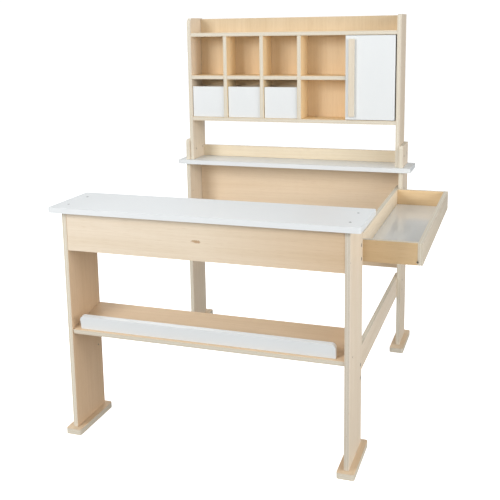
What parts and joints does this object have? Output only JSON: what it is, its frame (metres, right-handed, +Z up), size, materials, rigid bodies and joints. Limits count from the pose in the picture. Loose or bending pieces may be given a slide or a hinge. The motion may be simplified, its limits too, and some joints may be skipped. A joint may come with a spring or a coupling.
{
  "type": "toy market stall",
  "caption": "Wooden play shop: a serving counter and a shop unit with a compartment rack, drawers and a door, joined on one side by a display tray and a rail.",
  "frame": {"origin": "on the floor, at the middle of the footprint's bounding box", "axes": "+X along the counter to the side that carries the tray, +Y from the counter to the shop unit, +Z up"},
  "size_m": [0.8784, 0.93, 1.047],
  "materials": {
    "pale_wood": "clear-varnished pale wood board",
    "white_lacquer": "satin white lacquer on board",
    "tray_panel": "matt light grey coated panel",
    "steel": "dark zinc-plated steel"
  },
  "bodies": {
    "stall": {"back_panel": "pale_wood", "counter_apron": "pale_wood", "counter_left_foot": "pale_wood", "counter_left_side": "pale_wood", "counter_right_foot": "pale_wood", "counter_right_side": "pale_wood", "counter_top": "white_lacquer", "door_pin_lower": "steel", "door_pin_upper": "steel", "goods_shelf": "pale_wood", "shelf_lip": "white_lacquer", "post_bolt_left_front": "steel", "post_bolt_left_rear": "steel", "post_bolt_right_front": "steel", "post_bolt_right_rear": "steel", "rack_back": "pale_wood", "rack_divider_1": "pale_wood", "rack_divider_2": "pale_wood", "rack_divider_3": "pale_wood", "rack_divider_4": "pale_wood", "rack_floor": "pale_wood", "rack_left_side": "pale_wood", "rack_right_side": "pale_wood", "rack_roof": "pale_wood", "rack_shelf_1": "pale_wood", "rack_shelf_2": "pale_wood", "rack_shelf_3": "pale_wood", "rack_shelf_4": "pale_wood", "splash_board": "pale_wood", "stretcher_rail": "pale_wood", "tray_floor": "tray_panel", "tray_front_board": "pale_wood", "tray_inner_board": "pale_wood", "tray_outer_board": "pale_wood", "tray_rear_board": "pale_wood", "unit_left_foot": "pale_wood", "unit_left_side": "pale_wood", "unit_right_foot": "pale_wood", "unit_right_side": "pale_wood", "work_top": "white_lacquer"},
    "door": {"cabinet_door": "white_lacquer", "door_grip": "pale_wood"},
    "drawer_1": {"drawer_1_front": "white_lacquer", "drawer_1_left": "pale_wood", "drawer_1_right": "pale_wood", "drawer_1_back": "pale_wood", "drawer_1_bottom": "pale_wood"},
    "drawer_2": {"drawer_2_front": "white_lacquer", "drawer_2_left": "pale_wood", "drawer_2_right": "pale_wood", "drawer_2_back": "pale_wood", "drawer_2_bottom": "pale_wood"},
    "drawer_3": {"drawer_3_front": "white_lacquer", "drawer_3_left": "pale_wood", "drawer_3_right": "pale_wood", "drawer_3_back": "pale_wood", "drawer_3_bottom": "pale_wood"}
  },
  "joints": [
    {"name": "drawer_1_slide", "type": "slide", "parent": "stall", "child": "drawer_1", "axis": [0, -1, 0], "range_m": [0, 0.07]},
    {"name": "drawer_2_slide", "type": "slide", "parent": "stall", "child": "drawer_2", "axis": [0, -1, 0], "range_m": [0, 0.07]},
    {"name": "drawer_3_slide", "type": "slide", "parent": "stall", "child": "drawer_3", "axis": [0, -1, 0], "range_m": [0, 0.07]},
    {"name": "door_hinge", "type": "hinge", "parent": "stall", "child": "door", "pos_m": [0.26545, 0.3385, 0.8575], "axis": [0, 0, 1], "range_deg": [0, 110]}
  ]
}
